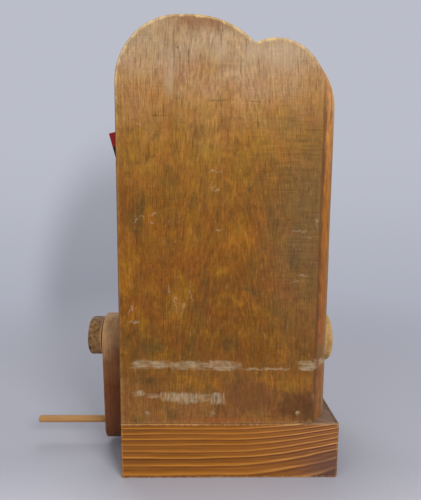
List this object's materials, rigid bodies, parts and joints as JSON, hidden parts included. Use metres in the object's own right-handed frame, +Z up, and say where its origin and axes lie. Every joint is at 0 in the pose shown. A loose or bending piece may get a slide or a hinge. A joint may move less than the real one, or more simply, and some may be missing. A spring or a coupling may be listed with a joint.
{
  "type": "hand cranked wooden automaton",
  "caption": "Free-standing wooden automaton: a side crank turns friction wheels in an open box and the sails of a small windmill in front of a tall back panel with two rounded lobes.",
  "frame": {"origin": "middle of the base block's underside", "axes": "+Z up; the front with the open box and the sails faces -Y, the back panel is at +Y; the crank is on the +X side"},
  "size_m": [0.2179, 0.089, 0.308],
  "materials": {
    "base_softwood": "stained softwood with strong grain, satin varnish",
    "panel_board": "stained and worn board at the back, sky-blue paint in front",
    "box_wood": "stained wood, satin",
    "stage_paint": "worn green paint on wood",
    "nail_steel": "dull steel",
    "dowel_wood": "bare birch dowel",
    "arm_wood": "dark stained wood, worn at the head",
    "disc_wood": "bare turned wood, worn",
    "wheel_wood": "bare sawn wood",
    "stock_paint": "black paint on wood",
    "sail_paint": "black paint with a red leading band",
    "hub_paint": "red paint on turned wood",
    "tower_paint": "worn off-white paint on wood",
    "roof_paint": "worn dark red paint on wood",
    "door_paint": "dark green paint on wood",
    "window_paint": "white frame and dark pane, painted"
  },
  "bodies": {
    "frame": {"base_block": "base_softwood", "back_panel": "panel_board", "rear_cleat": "box_wood", "side_wall_crank": "box_wood", "side_wall_far": "box_wood", "stage_board": "stage_paint", "panel_nails": "nail_steel", "stage_nails": "nail_steel", "base_screws": "nail_steel", "tower_front": "tower_paint", "tower_side_crank": "tower_paint", "tower_side_far": "tower_paint", "tower_shelf": "box_wood", "roof_board_crank": "roof_paint", "roof_board_far": "roof_paint", "tower_door": "door_paint", "door_knob": "hub_paint", "door_step": "door_paint", "tower_windows": "window_paint"},
    "crank": {"crankshaft": "dowel_wood", "crank_arm": "arm_wood", "handle_dowel": "dowel_wood", "crank_disc": "disc_wood", "far_disc": "disc_wood", "crank_washer": "dowel_wood", "far_washer": "dowel_wood", "drive_wheel": "wheel_wood"},
    "spindle": {"spindle": "dowel_wood", "spindle_disc": "wheel_wood", "spindle_collar": "wheel_wood", "upper_disc": "wheel_wood"},
    "windshaft": {"windshaft": "dowel_wood", "windshaft_wheel": "wheel_wood", "windshaft_collar": "wheel_wood", "windshaft_washer": "wheel_wood", "stock_a": "stock_paint", "stock_b": "stock_paint", "sail_crank_side": "sail_paint", "sail_upper": "sail_paint", "sail_far_side": "sail_paint", "sail_lower": "sail_paint", "sail_nails": "nail_steel", "hub_cap": "hub_paint"}
  },
  "joints": [
    {"name": "crank_turn", "type": "hinge", "parent": "frame", "child": "crank", "pos_m": [0, 0, 0.0835], "axis": [1, 0, 0], "continuous": true},
    {"name": "spindle_turn", "type": "hinge", "parent": "frame", "child": "spindle", "pos_m": [0.0235, 0, 0.1108], "axis": [0, 0, 1], "continuous": true},
    {"name": "windshaft_turn", "type": "hinge", "parent": "frame", "child": "windshaft", "pos_m": [0.0235, 0, 0.23816], "axis": [0, 1, 0], "continuous": true}
  ],
  "couplings": [
    {"joint": "spindle_turn", "follows": "crank_turn", "ratio": 1.5},
    {"joint": "windshaft_turn", "follows": "crank_turn", "ratio": 0.75}
  ]
}
